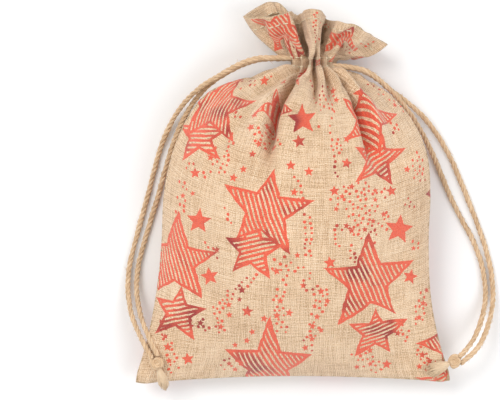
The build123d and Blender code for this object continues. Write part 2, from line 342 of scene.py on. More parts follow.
def add_plies(parts, line, rng, thickness=CORD, pitch=7.5, phase=0.0):
    """Adds a three-ply twisted cord along line, a little uneven as jute is."""
    line = evenly(line, int(line_length(line) / 0.42) + 2)
    _, side, up = frames(line)
    run = distances(line)
    wander = rng.uniform(0, 6.28, 12)
    slow = 0.5 * np.sin(run / 9.7 + wander[0]) + 0.35 * np.sin(run / 4.1 + wander[1])
    for ply in range(3):
        swell = 1 + 0.09 * np.sin(run / 5.3 + wander[2 + ply]) + 0.07 * np.sin(run / 2.2 + wander[5 + ply])
        angle = phase + ply * 2 * math.pi / 3 + run / pitch * 2 * math.pi + 0.5 * slow
        offset = thickness * (0.255 + 0.02 * np.sin(run / 3.1 + wander[8 + ply]))
        centre = line + (np.cos(angle)[:, None] * side + np.sin(angle)[:, None] * up) * offset[:, None]
        add_tube(parts, centre, thickness * 0.262 * swell, 10, lane=1.37 * ply)


def cord_piece(name, points, material, seed):
    """One strand of a drawcord, from inside the casing to its knot, and the line that it follows."""
    rng = np.random.default_rng(seed)
    line = spline_line(name + "_line", points)
    parts = new_parts()
    add_plies(parts, line, rng, phase=rng.uniform(0, 6))
    add_fibres(parts, evenly(line, 400), 150, 2.0, rng)
    return tube_object(name, parts, material), line


# ---------------------------------------------------------------- camera, floor and light

def make_camera():
    """Straight above the sack, as the photo was taken."""
    data = bpy.data.cameras.new("camera")
    data.sensor_width = 36.0
    data.lens = 204.8
    data.clip_end = 10
    camera = place("camera", data)
    camera.location = (-0.0179, -0.0023, 1.2)
    bpy.context.scene.camera = camera


def make_area(name, location, size, energy, colour):
    data = bpy.data.lights.new(name, "AREA")
    data.shape = "DISK"
    data.size = size
    data.energy = energy
    data.color = colour
    light = place(name, data)
    light.location = location
    light.rotation_euler = Vector(location).to_track_quat("Z", "Y").to_euler()


def wide_plane(name):
    mesh = bpy.data.meshes.new(name)
    mesh.from_pydata([(-3, -3, 0), (3, -3, 0), (3, 3, 0), (-3, 3, 0)], [], [(0, 1, 2, 3)])
    return mesh


def make_stage():
    mesh = wide_plane("floor")
    surface = bpy.data.materials.new("floor")
    surface.use_nodes = True
    shader = surface.node_tree.nodes["Principled BSDF"]
    shader.inputs["Base Color"].default_value = (0.9, 0.9, 0.9, 1)
    shader.inputs["Roughness"].default_value = 0.8
    mesh.materials.append(surface)
    place("floor", mesh)
    world = bpy.data.worlds.new("studio")
    world.use_nodes = True
    background = world.node_tree.nodes["Background"]
    background.inputs["Color"].default_value = (1.0, 1.0, 1.0, 1)
    background.inputs["Strength"].default_value = 0.7
    bpy.context.scene.world = world
    make_area("key", (-0.55, 0.45, 0.9), 0.7, 6.5, (1.0, 0.98, 0.96))
    make_area("fill", (0.7, -0.3, 0.8), 0.8, 4.5, (0.97, 0.98, 1.0))
    bpy.context.scene.view_settings.view_transform = "Standard"


# ---------------------------------------------------------------- cloth

def body_rows(v, t):
    """The smooth filled body below the casing, front and back: an arc through four lines at each row."""
    count = 400
    lines = [smooth_path(p, count) for p in (LEFT_SEAM, RIGHT_SEAM, FRONT_MIDDLE, BACK_MIDDLE)]
    front, back = [], []
    for height in v:
        k = height / BODY * (count - 1)
        left, right, high, low = [points_at(line, np.arange(count), k) for line in lines]
        front.append(arc_row(left, high, right, t))
        back.append(arc_row(left, low, right, t))
    return np.array(front), np.array(back)


def neck_row(y, t, sign, half, tall, depth):
    """A row of the drawn-up neck: an ellipse about its middle, with pleats. sign is 1 for the front."""
    middle = np.array((NECK_X, y, NECK_Z))
    side = np.array((half, 0.0, 0.0))
    row = arc_row(middle - side, middle + np.array((0, 0, sign * tall)), middle + side, t)
    out = (row - middle) / np.linalg.norm(row - middle, axis=1, keepdims=True)
    return row + out * (depth * pleats(t, sign))[:, None]


def pleats(t, sign):
    """The wave of the small pleats along a row, from one seam to the other, no two quite alike."""
    s = t if sign > 0 else 2 - t
    drift = 0.013 * np.sin(2 * math.pi * 1.5 * s + 1.1) + 0.008 * np.sin(2 * math.pi * 2.5 * s + 2.3)
    height = 1 + 0.2 * np.sin(2 * math.pi * 2 * s + 0.6) + 0.12 * np.sin(2 * math.pi * 3.5 * s)
    return height * np.cos(math.pi * PLEATS * (s + drift - PLEAT_SHIFT))


def lobes(t, sign):
    """The wider folds that the pleats run together into, away from the neck."""
    s = t if sign > 0 else 2 - t
    return np.cos(math.pi * PLEATS / 2 * (s - PLEAT_SHIFT) + 0.7 * np.sin(2 * math.pi * s))


def lengthened(row, wave, length, most):
    """The row with as much of a wave, in millimetres of offset, as brings it to this length."""
    low, high = 0.0, most
    for _ in range(18):
        middle = (low + high) / 2
        if line_length(row + wave * middle) < length:
            low = middle
        else:
            high = middle
    return row + wave * low


def fold(u, v, top, tip, depth, width, end):
    """How far a one-sided fold of the cloth stands up, and how far its ridge leans over its valley along +u.

    It runs from top, at the neck, to its tip.
    """
    (u0, v0), (u1, v1) = top, tip
    along = np.clip((v - v1) / (v0 - v1), 0, 1.0)
    away = u - (u1 + (u0 - u1) * along)
    ridge = np.exp(-(((away - end * 1.7 * width) / width) ** 2)) * (1 - 0.7 * smoothstep(128, 148, v))
    strength = smoothstep(v1 - 8, v1 + 18, v) * (1 - smoothstep(148, 153, v))
    rise = depth * (0.6 * ridge - np.exp(-((away / width) ** 2)))
    return rise * strength, -end * 0.33 * depth * ridge * strength


def surface_normals(grid, sign):
    """The outward unit normal at each point of a grid. sign is 1 for the front panel, -1 for the back."""
    normal = np.cross(np.gradient(grid, axis=1), np.gradient(grid, axis=0)) * sign
    return normal / np.maximum(np.linalg.norm(normal, axis=2, keepdims=True), 1e-9)


def gathered_row(row, out, u, t, height, sign):
    """A row of the body with the folds that run down from the neck, drawn in to the pinch.

    out is the cloth's normal along the row, and height is how far up the flat cloth the row lies.
    """
    held = np.minimum(np.minimum(t, 1 - t) * 14, 1)[:, None]
    near = smoothstep(126, 150, height)
    if sign > 0:
        for shape in FRONT_FOLDS:
            rise, lean = fold(u, height, *shape)
            row = row + out * held * rise[:, None]
            row[:, 0] += held[:, 0] * lean
    wave = (pleats(t, sign) * near + lobes(t, sign) * (1 - near) * 1.4)[:, None] * out * held
    pinch = neck_row(NECK_START, t, sign, PINCH_WIDE, PINCH_TALL, PLEAT)
    row = lengthened(row, wave, FLAT_WIDTH * 0.97, 5.0)
    return row + (pinch - row) * smoothstep(146, 153, height) ** 2


def frill_row(neck, y, rise, mouth, t, sign):
    """A row of the frill between the neck and the mouth, made as long as the cloth in its lobes.

    neck is the casing's last row, at y, and rise goes from 0 there to 1 at the mouth.
    """
    lobe = np.zeros_like(mouth)
    lobe[:, 2] = mouth[:, 2] - (NECK_Z - 1 + sign * 6 * np.sin(math.pi * t))
    fan = np.abs(2 * t - 1) ** 2.5
    fan = fan[:, None] * np.where(t[:, None] < 0.5, LEFT_FAN, RIGHT_FAN)
    smooth = neck_row(y, t, sign, PINCH_WIDE, PINCH_TALL, 0.0)
    ease = rise**0.8
    base = smooth + (mouth - lobe - smooth) * ease + fan * 4 * ease * (1 - ease)
    base = base + (neck - smooth) * (1 - smoothstep(0.0, 0.5, rise))
    return lengthened(base, lobe, FLAT_WIDTH * 0.95, 1.5)


def start_panel(v, u, t, sign, body, lip):
    """One panel before it settles: rows of points from the bottom seam through the neck to the mouth."""
    low = v <= BODY
    grid = np.empty((ROWS + 1, COLUMNS + 1, 3))
    grid[low] = body
    out = surface_normals(grid[low], sign)
    for i in np.nonzero(low & (v > FOLDS_FROM))[0]:
        grid[i] = gathered_row(grid[i], out[i], u, t, v[i], sign)
    mouth = smooth_path(lip, COLUMNS + 1)
    for i in np.nonzero(~low)[0]:
        share = np.clip((v[i] - BODY) / CASING, 0, 1)
        y = NECK_START + (NECK_END - NECK_START) * share
        waist = 1 - 0.1 * math.sin(math.pi * share)
        row = neck_row(y, t, sign, PINCH_WIDE * waist, PINCH_TALL * waist, PLEAT)
        rise = (v[i] - BODY - CASING) / HEADER
        grid[i] = frill_row(row, y, rise, mouth, t, sign) if rise > 0 else row
    return grid


def start_cloth():
    """The places of the grid on the flat cloth, and both panels before they settle, joined at the seams."""
    v = np.linspace(0, FLAT_HEIGHT, ROWS + 1)
    t = np.linspace(0, 1, COLUMNS + 1)
    u = t * FLAT_WIDTH - FLAT_WIDTH / 2
    bodies = body_rows(v[v <= BODY], t)
    front = start_panel(v, u, t, 1, bodies[0], FRONT_LIP)
    back = start_panel(v, u, t, -1, bodies[1], BACK_LIP)
    for column in (0, -1):
        back[:, column] = front[:, column] = (front[:, column] + back[:, column]) / 2
    back[0] = front[0] = (front[0] + back[0]) / 2
    front[..., 2] = np.maximum(front[..., 2], 0.9)
    back[..., 2] = np.maximum(back[..., 2], 0.6)
    return u, v, front, back


def tube_index(rows, columns):
    """Vertex numbers of the front grid and of the back grid, which share the two sides and the bottom."""
    front = np.arange(rows * columns).reshape(rows, columns)
    back = np.full((rows, columns), -1)
    back[:, 0], back[:, -1], back[0] = front[:, 0], front[:, -1], front[0]
    free = back < 0
    back[free] = rows * columns + np.arange(free.sum())
    return front, back, free


def quads(index, flip):
    """The faces of a grid of vertex numbers, turned over if flip is set."""
    faces = np.stack([index[:-1, :-1], index[:-1, 1:], index[1:, 1:], index[1:, :-1]], -1)
    faces = faces.reshape(-1, 4)
    return faces[:, ::-1] if flip else faces


def flat_points(u, v):
    """Where the points of a grid lie on the flat cloth, across and up, in rows."""
    return np.stack(np.broadcast_arrays(u, v[:, None]), -1)


def weight_group(thing, name, weights):
    group = thing.vertex_groups.new(name=name)
    for i in np.nonzero(weights > 0)[0]:
        group.add([int(i)], float(weights[i]), "REPLACE")


def pin_weights(across, along, seam):
    """How firmly each point of the cloth is held where it starts: the casing fully, the frill hardly."""
    pin = np.where((along > BODY + 0.5) & (along < BODY + CASING - 0.5), 1.0, 0.0)
    toward_neck = np.clip((along - 100) / 40, 0, 1)
    pin = np.where(along < BODY, 0.5 * toward_neck, pin)
    pin = np.where(seam & (along < BODY - 1), 0.4, pin)
    corner = seam & (along < 3) & (np.abs(across) > 60)
    pin = np.where(corner, 0.8, pin)
    pin = np.where(along > BODY + CASING, 0.12, pin)
    return np.where(along > FLAT_HEIGHT - 1, 0.8, pin)


def settle_cloth(u, v, front, back):
    """Blender's Cloth settles the sack: filled below the neck, held in the casing, free at the frill."""
    front_index, back_index, free = tube_index(*front.shape[:2])
    points = np.vstack([front.reshape(-1, 3), back[free]])
    faces = np.vstack([quads(front_index, False), quads(back_index, True)])
    sack = place("settling", new_mesh("settling", points, faces.tolist(), SIM_SCALE))
    sack.shape_key_add(name="start")
    cut = sack.shape_key_add(name="cut")
    flat = flat_points(u, v)
    flat = np.vstack([flat.reshape(-1, 2), flat[free]])
    cut.data.foreach_set("co", (np.c_[flat, np.zeros(len(flat))] * SIM_SCALE).ravel())
    cut.value = 0.0
    seam = np.zeros(len(flat), bool)
    seam[front_index[:, 0]] = seam[front_index[:, -1]] = seam[front_index[0]] = True
    weight_group(sack, "pin", pin_weights(*flat.T, seam))
    weight_group(sack, "filled", np.clip((BODY - 18 - flat[:, 1]) / 30, 0, 1))
    ground = place("ground", wide_plane("ground"))
    ground.modifiers.new("collision", "COLLISION")
    ground.collision.thickness_outer = 0.004
    set_cloth(sack.modifiers.new("cloth", "CLOTH"), cut)
    scene = bpy.context.scene
    for frame in range(1, SIM_FRAMES + 1):
        scene.frame_set(frame)
    settled = sack.evaluated_get(bpy.context.evaluated_depsgraph_get())
    out = np.empty(len(points) * 3)
    settled.data.vertices.foreach_get("co", out)
    out = out.reshape(-1, 3) / SIM_SCALE
    scene.frame_set(1)
    bpy.data.objects.remove(sack)
    bpy.data.objects.remove(ground)
    return out[front_index], out[back_index]


def set_cloth(cloth, cut):
    """Stiff, light, well damped cloth."""
    settings = cloth.settings
    settings.quality = 6
    settings.mass = 0.15
    settings.air_damping = 4.0
    for kind, stiffness, damping in (
        ("tension", 60, 15), ("compression", 60, 15), ("shear", 18, 10), ("bending", 2.5, 2.0),
    ):
        setattr(settings, kind + "_stiffness", stiffness)
        setattr(settings, kind + "_damping", damping)
    settings.vertex_group_mass = "pin"
    settings.pin_stiffness = 3.0
    settings.rest_shape_key = cut
    settings.use_pressure = True
    settings.uniform_pressure_force = 3.0
    settings.vertex_group_pressure = "filled"
    settings.effector_weights.gravity = 0.3
    collision = cloth.collision_settings
    collision.use_collision = True
    collision.distance_min = 0.004
    collision.collision_quality = 3
    collision.use_self_collision = True
    collision.self_distance_min = 0.007
    collision.self_friction = 5.0
    cloth.point_cache.frame_start = 1
    cloth.point_cache.frame_end = SIM_FRAMES


def spline_weights(count, fine):
    """Rows of weights that turn count points into finer points on a cubic B-spline that keeps both ends."""
    at = np.linspace(0, count - 1, int(round((count - 1) * fine)) + 1)
    k = np.minimum(at.astype(int), count - 2)
    f = at - k
    weights = np.zeros((len(at), count))
    parts = ((1 - f) ** 3, 3 * f**3 - 6 * f**2 + 4, -3 * f**3 + 3 * f**2 + 3 * f + 1, f**3)
    for step, part in zip((-1, 0, 1, 2), parts):
        index = k + step
        under = index < 0
        over = index > count - 1
        inside = ~(under | over)
        np.add.at(weights, (np.nonzero(inside)[0], index[inside]), part[inside] / 6)
        for outside, edge, inner in ((under, 0, 1), (over, count - 1, count - 2)):
            rows = np.nonzero(outside)[0]
            np.add.at(weights, (rows, np.full(len(rows), edge)), 2 * part[outside] / 6)
            np.add.at(weights, (rows, np.full(len(rows), inner)), -part[outside] / 6)
    return at, weights


def refine(grid):
    """The grid at its finished fineness, and where each of its lines lies on the coarse grid."""
    down, row_weights = spline_weights(grid.shape[0], FINE)
    over, column_weights = spline_weights(grid.shape[1], FINE)
    return np.einsum("ar,rcx,bc->abx", row_weights, grid, column_weights), down, over


def finished_grid(grid, sign):
    """The settled panel made fine, with the small puckers that the seams draw in and rounded corners."""
    fine, down, over = refine(grid)
    v = down / ROWS * FLAT_HEIGHT
    u = over / COLUMNS * FLAT_WIDTH - FLAT_WIDTH / 2
    edge = (FLAT_WIDTH / 2 - np.abs(u))[None, :]
    height = v[:, None]
    side = np.exp(-edge / 2.6) * np.minimum(edge / 1.0, 1) * (height < BODY)
    foot = np.exp(-height / 2.6) * np.minimum(height / 1.0, 1)
    across = u[None, :]
    pucker = side * np.sin(height * 2 * math.pi / 4.3 + 1.7 * np.sin(height / 7.0))
    pucker = pucker + foot * np.sin(across * 2 * math.pi / 4.7 + 1.5 * np.sin(across / 8.0))
    fine = fine + surface_normals(fine, sign) * (0.32 * pucker)[..., None]
    corner = np.clip(1 - np.hypot(edge, height) / 6.5, 0, 1) ** 1.4 * 1.6
    fine[..., 0] -= np.sign(across) * corner
    fine[..., 1] += corner
    fine[..., 2] = np.clip(fine[..., 2], 0.1, 50.0)
    return fine, u, v


def panel_object(name, grid, u, v, sign, materials, layout):
    """One cloth panel with its cutting pattern and the coordinates of its print as UV maps."""
    index = np.arange(len(v) * len(u)).reshape(len(v), len(u))
    faces = quads(index, sign < 0)
    mesh = new_mesh(name, grid.reshape(-1, 3), faces.tolist())
    corners = flat_points(u, v).reshape(-1, 2)[faces.ravel()]
    write_uv(mesh, "flat", corners / UV_SCALE)
    middles = corners.reshape(-1, 4, 2).mean(1)
    for layer, stars in layout.items():
        write_uv(mesh, layer, star_coordinates(corners, middles, stars))
    return thick_cloth(name, mesh, materials, CLOTH)


def thick_cloth(name, mesh, materials, thickness):
    """The object of a cloth surface, its thickness turned inward, where the second material shows."""
    for material in materials:
        mesh.materials.append(material)
    mesh.shade_smooth()
    cloth = place(name, mesh)
    thick = cloth.modifiers.new("thickness", "SOLIDIFY")
    thick.thickness = thickness * MM
    thick.offset = -1
    thick.material_offset = 1
    thick.material_offset_rim = 1
    bpy.context.view_layer.update()
    solid = cloth.evaluated_get(bpy.context.evaluated_depsgraph_get())
    solid = bpy.data.meshes.new_from_object(solid)
    cloth.modifiers.clear()
    cloth.data = solid
    return cloth


def write_uv(mesh, name, corners):
    layer = mesh.uv_layers.new(name=name)
    layer.data.foreach_set("uv", np.ascontiguousarray(corners, dtype=np.float32).ravel())


# The print. A star is where its middle lies on the settled front, across and up from the middle of the
# sack in millimetres, then its tips' reach from the top one round to the left, and the angle of the top one.
LARGE_STARS = [
    (-11.5, -6.3, (17.4, 20, 17.4, 21, 20), 80),
    (-10.4, -71, (20, 19.5, 20, 20, 19.5), 88),
    (30.9, -35.7, (20.5, 18.9, 22.7, 17.6, 21), 93),
    (-31.5, 36.5, (18, 17, 18, 17, 18), 70),
    (-48.2, -27.6, (21, 18, 18, 19, 17), 86),
    (29, 30.2, (15, 15, 14, 15, 15), 84),
]
PARTNER_STARS = [
    (-17.2, -22.5, (15, 12, 12.2, 14.5, 15.7), 85),
    (33.8, -56.8, (10, 11.8, 14, 10.7, 15.1), 90),
    (-38.2, 24.3, (12, 11, 13, 12.5, 12), 86),
    (-47.7, -48.7, (11, 12, 13, 14, 12), 80),
    (34, 14.6, (13, 12, 13.5, 13, 12.5), 88),
]
# Large stars that the seams cut or the frill folds: across and up on the flat cloth
CUT_STARS = [
    (78, 78, (18, 18, 18, 18, 18), 95),
    (71, 17, (18, 18, 18, 18, 18), 100),
    (-47, 176, (21, 18, 20, 18, 21), 62),
    (40, 172, (15, 13, 15, 13, 15), 78),
    (-22, 128, (11, 11, 12, 11, 12), 75),
]
CUT_PARTNERS = [
    (61, -1, (12, 12, 12, 12, 12), 95),
    (-36, 165, (9, 9, 9, 9, 9), 80),
    (-19, 147, (8, 9, 8, 8, 9), 100),
    (9, 155, (6, 6, 6, 6, 6), 70),
    (48, 160, (7, 6, 7, 6, 7), 60),
]
# Small solid stars: place on the settled front, and reach
SOLID_STARS = [
    (3.4, 30.6, 6.4), (2.1, 21.6, 2.9), (28, 40.3, 3.6), (43.4, -14.3, 6.3), (-38.9, -10.9, 5.4),
    (-34.5, -33.7, 4), (48.4, -34, 3.4), (14.7, -27.8, 2.7), (-43.8, -68.4, 2.8), (39.1, -70.8, 2.3),
    (-19, -48, 2.6), (16.2, 42.7, 1.6), (17.6, 38.6, 1.3), (-4.5, 45.2, 1.6), (-11.9, 46.7, 2.2),
    (-15.8, 32.1, 1.5), (-17.3, 27.2, 1.7), (-10.9, 27.5, 1.3), (-7.9, 24, 1.3), (-14.3, 20.1, 1.6),
    (-16.8, 16.2, 1.6), (-8.4, 19.1, 1.4), (-20.5, 10.3, 1.7), (-24.6, 6.8, 1.9), (-34, 15.2, 1.7),
    (-40.4, 8.8, 2.4), (-45.5, -0.5, 1.3), (-41.4, 0.4, 1.2), (-31.5, -22.7, 1.5), (-1.3, 11.8, 2.2),
    (6, 9.3, 2.1), (0.1, 0.9, 1.8), (21.6, 22.6, 1.7), (21.4, 12.7, 2.4), (16.4, 1.4, 2.3), (23.5, 3.2, 1.5),
    (19.6, -0.8, 1.4), (17.2, -5.9, 1.3), (40, 1.4, 2.4), (46.7, 10.3, 1.6), (33.2, -2.2, 1.2),
    (33.4, 1.6, 1.3), (32.4, -10.9, 1.3), (36.8, -8.1, 1.4), (29, -14.3, 1.4), (23.5, -14.8, 1.5),
    (21.4, -12.8, 1.5), (49.6, -22.2, 1.2), (1.4, -24.8, 1.4), (-7.1, -31.3, 1.8), (3.9, -37.2, 1.6),
    (11.1, -39.6, 1.7), (13.7, -43.6, 1.5), (9.6, -50.2, 1.5), (8.6, -45.8, 1.3), (7.8, -54.1, 1.6),
    (11.3, -55.9, 1.4), (7.6, -59.5, 1.5), (4.9, -63.3, 1.6), (-21.2, -39.1, 1.8), (-26.6, -45.3, 1.5),
    (-22.2, -43.1, 1.2), (-26.4, -49.5, 1.5), (-30, -54.6, 1.6), (-5.5, -43.5, 1.6), (-1.8, -48.5, 1.8),
    (-6.9, -49.7, 1.7), (-12.1, -51, 1.7), (-17, -56.6, 1.5), (-19.2, -60.3, 1.5), (-24.1, -62.3, 1.4),
    (-52.2, -63.5, 2), (-53.1, -59, 1.4), (-51.7, -69.3, 1.5), (-38.4, -53.1, 1.6), (31.9, -64.7, 1.5),
    (32.2, -70.5, 1.4), (26.7, -71.8, 1.4), (28, -66.9, 1.2), (43.4, -57.5, 1.6), (54, -45.2, 1.5),
    (55.5, -39.8, 1.4), (52.3, -51.1, 1.5), (54, -66.9, 1.8), (57, -69.6, 1.7), (52.8, -71.8, 1.5),
    (-26.6, -70.3, 1.3), (-24.1, -72.8, 1.4), (33.5, 45, 1.8), (42, 37, 1.4),
]
# Trails of small dots: points along the trail, its width, and how many dots it has at most
DOT_TRAILS = [
    (((14.9, 28.5), (15.4, 22), (16.4, 14), (17.6, 7.5)), 1.2, 12), (((17.4, 22.5), (18.4, 17)), 3, 7),
    (((9.3, 29.5), (10.5, 26.8)), 0.2, 2), (((4.2, -8), (4.8, -17), (4.4, -26)), 0.8, 11),
    (((6.6, -8), (7.2, -17), (6.4, -26)), 0.8, 11), (((-24.6, 23.6), (-27, 17), (-29.5, 8.8)), 2.4, 17),
    (((-26, 33.4), (-23, 32.4)), 2.6, 6), (((-28.6, -6.2), (-27.2, -8.8), (-26, -11.4)), 1.6, 5),
    (((-14.8, -34), (-24.6, -39.9), (-31.5, -47.3), (-30, -56)), 3.6, 34),
    (((-5.5, -36.4), (-6, -45), (-4.5, -55)), 5, 24),
    (((3.9, -37.2), (12.5, -40.5), (9, -50), (5.5, -63)), 5, 34),
    (((-9.9, -26.5), (-2, -30), (5.9, -32.5)), 6, 16), (((-44, 13), (-36, 8)), 4, 8),
    (((-45.5, 6), (-47, -8)), 4, 12), (((-35.5, -20), (-31.5, -25)), 2.4, 7),
    (((40.8, 29.3), (43.2, 25.6)), 2.6, 6), (((51.6, 17), (52.4, 7)), 5, 24),
    (((17.6, 0), (24, -3), (31, -8), (36, -12)), 9, 46), (((18.5, -12.5), (28, -16), (33, -19)), 5, 18),
    (((17, -13), (18, -22)), 1.8, 6), (((22.8, -19.7), (25.2, -29)), 2.4, 10), (((26, 3), (36, 1)), 5, 14),
    (((9, 44), (12, 40.5), (14.5, 37)), 7, 34), (((15.7, 37), (15.5, 30.5)), 0.4, 4),
    (((54, -41.5), (52, -52)), 4, 18), (((42, -54), (47, -59)), 4.5, 12),
    (((-54, -55), (-50, -65), (-50, -74)), 5, 18), (((-42, -51), (-35, -57)), 4, 10),
    (((25.5, -66.5), (31, -69), (36.3, -72)), 5, 20), (((0, 7), (3.5, -2)), 3.4, 9),
    (((46.7, -1.7), (49.3, -5)), 3.4, 6), (((48.6, -19.7), (51.6, -21.7)), 3, 6),
    (((-22, 45), (-10, 48)), 3, 16), (((-16, 24), (-9, 21.5)), 7, 20), (((-34, 19), (-32, 13)), 4, 6),
    (((54, -64), (55, -73)), 5, 10), (((30, 48), (47, 34)), 4, 10), (((-20, -66), (-28, -72)), 5, 12),
]
# The same in the frill, on the flat cloth
FRILL_DOTS = [
    (((-1, 165), (1, 184)), 1.6, 16), (((9, 168), (11, 180)), 5, 9), (((52, 168), (56, 183)), 7, 16),
    (((-52, 163), (-30, 165)), 4, 12), (((20, 176), (24, 184)), 4, 6),
]
# Small solid stars in the frill, on the flat cloth
FRILL_STARS = [
    (-38, 163, 1.8), (-50, 165, 1.4), (8, 178, 1.2), (44, 165, 1.8), (57, 174, 1.3), (-60, 170, 1.6),
]

AS_CUT = (1, 0, 0, 1)  # the matrix of a star that is drawn on the flat cloth as it is


class Locator:
    """Finds the flat place, across and up the cloth, of a point seen from above on the settled front.

    hidden are the points that face away or lie in the neck and the frill.
    """

    def __init__(self, grid, u, v):
        self.grid = grid
        self.u = u
        self.v = v
        lift = surface_normals(grid, 1)[..., 2]
        self.hidden = (lift < 0.05) | (v[:, None] > BODY - 2)

    def flat(self, x, y):
        """The flat place under the point that is seen at x, y."""
        away = (self.grid[..., 0] - x) ** 2 + (self.grid[..., 1] - y) ** 2
        away = away - 0.02 * self.grid[..., 2] + np.where(self.hidden, 400.0, 0.0)
        i, j = np.unravel_index(int(away.argmin()), away.shape)
        i = min(max(i, 1), len(self.v) - 2)
        j = min(max(j, 1), len(self.u) - 2)
        here = self.grid[i, j, :2]
        across = (self.grid[i, j + 1, :2] - self.grid[i, j - 1, :2]) / (self.u[j + 1] - self.u[j - 1])
        up = (self.grid[i + 1, j, :2] - self.grid[i - 1, j, :2]) / (self.v[i + 1] - self.v[i - 1])
        jacobian = np.stack([across, up], 1)
        if abs(np.linalg.det(jacobian)) < 0.05:
            return self.u[j], self.v[i]
        step = np.clip(np.linalg.solve(jacobian, np.array((x, y)) - here), -1, 1)
        return self.u[j] + step[0], self.v[i] + step[1]

    def patch(self, x, y, reach):
        """The flat place under a seen point, and the matrix that turns flat offsets into seen ones there."""
        u, v = self.flat(x, y)
        near = (np.hypot(self.u[None, :] - u, self.v[:, None] - v) < reach) & ~self.hidden
        rows, columns = np.nonzero(near)
        offsets = np.stack([self.u[columns] - u, self.v[rows] - v, np.ones(len(rows))], 1)
        seen = self.grid[rows, columns, :2] - (x, y)
        fit = np.linalg.lstsq(offsets, seen, rcond=None)[0]
        left, size, right = np.linalg.svd(fit[:2].T)
        matrix = left @ np.diag(np.clip(size, 0.7, 1.1)) @ right
        shift = np.clip(np.linalg.solve(matrix, fit[2]), -2, 2)
        return (u - shift[0], v - shift[1]), tuple(matrix.ravel())


def trail_dots(points, width, count, rng):
    """Dots scattered along a trail, about evenly spaced and never on top of each other."""
    line = evenly(np.array(points, float), 60)
    dots = []
    for step in range(count):
        for _ in range(12):
            k = int(np.clip((step + rng.uniform(-0.6, 1.6)) / count * 59, 0, 59))
            dot = line[k] + rng.uniform(-0.5, 0.5, 2) * width
            if all(np.linalg.norm(dot - other) > 1.7 for other in dots):
                dots.append(dot)
                break
    return dots


def printed_star(locator, x, y, reach, angle):
    """A star for the flat cloth that is seen at x, y with this reach of its tips on the settled cloth."""
    middle, matrix = locator.patch(x, y, max(6.0, 0.8 * max(reach)))
    return (*middle, *reach, angle, *matrix)


def print_layout(locator):
    """Every printed star and dot: flat place, reach of the five tips, angle, and the matrix of its patch."""
    rng = np.random.default_rng(7)
    large, partner = [
        [printed_star(locator, x, y, reach, angle) for x, y, reach, angle in stars]
        for stars in (LARGE_STARS, PARTNER_STARS)
    ]
    large += [(u, v, *reach, angle, *AS_CUT) for u, v, reach, angle in CUT_STARS]
    partner += [(u, v, *reach, angle, *AS_CUT) for u, v, reach, angle in CUT_PARTNERS]
    solid = [printed_star(locator, x, y, [r] * 5, 90 + rng.uniform(-14, 14)) for x, y, r in SOLID_STARS]
    solid += [(u, v, *[r] * 5, 90 + rng.uniform(-20, 20), *AS_CUT) for u, v, r in FRILL_STARS]
    dots = []
    for trails, seen in ((DOT_TRAILS, True), (FRILL_DOTS, False)):
        for points, width, count in trails:
            for dot in trail_dots(points, width, count, rng):
                middle = locator.flat(*dot) if seen else dot
                dots.append((*middle, *[rng.uniform(0.5, 0.8)] * 5, 90, *AS_CUT))
    clear = []
    for dot in dots:
        if all(math.dist(dot[:2], star[:2]) > 0.9 * max(star[2:7]) for star in solid):
            clear.append(dot)
    return {"star_large": large, "star_partner": partner, "star_solid": solid, "star_dot": clear}


def turned_layout(layout):
    """The same print on the back panel, turned over and shifted as the cloth was cut."""
    turned = {}
    for name, stars in layout.items():
        turned[name] = []
        for u, v, top, *tips, angle, a, b, c, d in stars:
            middle = (-u * 0.96 + 7, v * 0.97 + 3)
            turned[name].append((*middle, top, *tips[::-1], 180 - angle, a, -b, -c, d))
    return turned


def nearest_stars(middles, stars):
    """The star that is nearest for its size to the middle of each face."""
    size = stars[:, 2:7].mean(1)
    best = np.full(len(middles), 1e9)
    nearest = np.zeros(len(middles), int)
    for k, star in enumerate(stars):
        x, y = star[8:12].reshape(2, 2) @ (middles - star[:2]).T
        away = np.hypot(x, y) / size[k]
        closer = away < best
        best[closer] = away[closer]
        nearest[closer] = k
    return stars[nearest]


def star_coordinates(corners, middles, stars):
    """Each face's corners in the frame of the star that is nearest for its size: tip up, radius 1."""
    mine = np.repeat(nearest_stars(middles, np.array(stars, float)), 4, axis=0)
    turn = np.radians(90 - mine[:, 7])
    local = np.einsum("nij,nj->ni", mine[:, 8:12].reshape(-1, 2, 2), corners - mine[:, :2])
    x = local[:, 0] * np.cos(turn) - local[:, 1] * np.sin(turn)
    y = local[:, 0] * np.sin(turn) + local[:, 1] * np.cos(turn)
    tip = np.mod((np.arctan2(y, x) - math.pi / 2) / (2 * math.pi / 5), 5)
    low = np.floor(tip).astype(int) % 5
    part = tip - np.floor(tip)
    part = part * part * (3 - 2 * part)
    rows = np.arange(len(mine))
    reach = mine[rows, 2 + low] * (1 - part) + mine[rows, 2 + (low + 1) % 5] * part
    return np.stack([x / reach, y / reach], 1)


# ---------------------------------------------------------------- materials

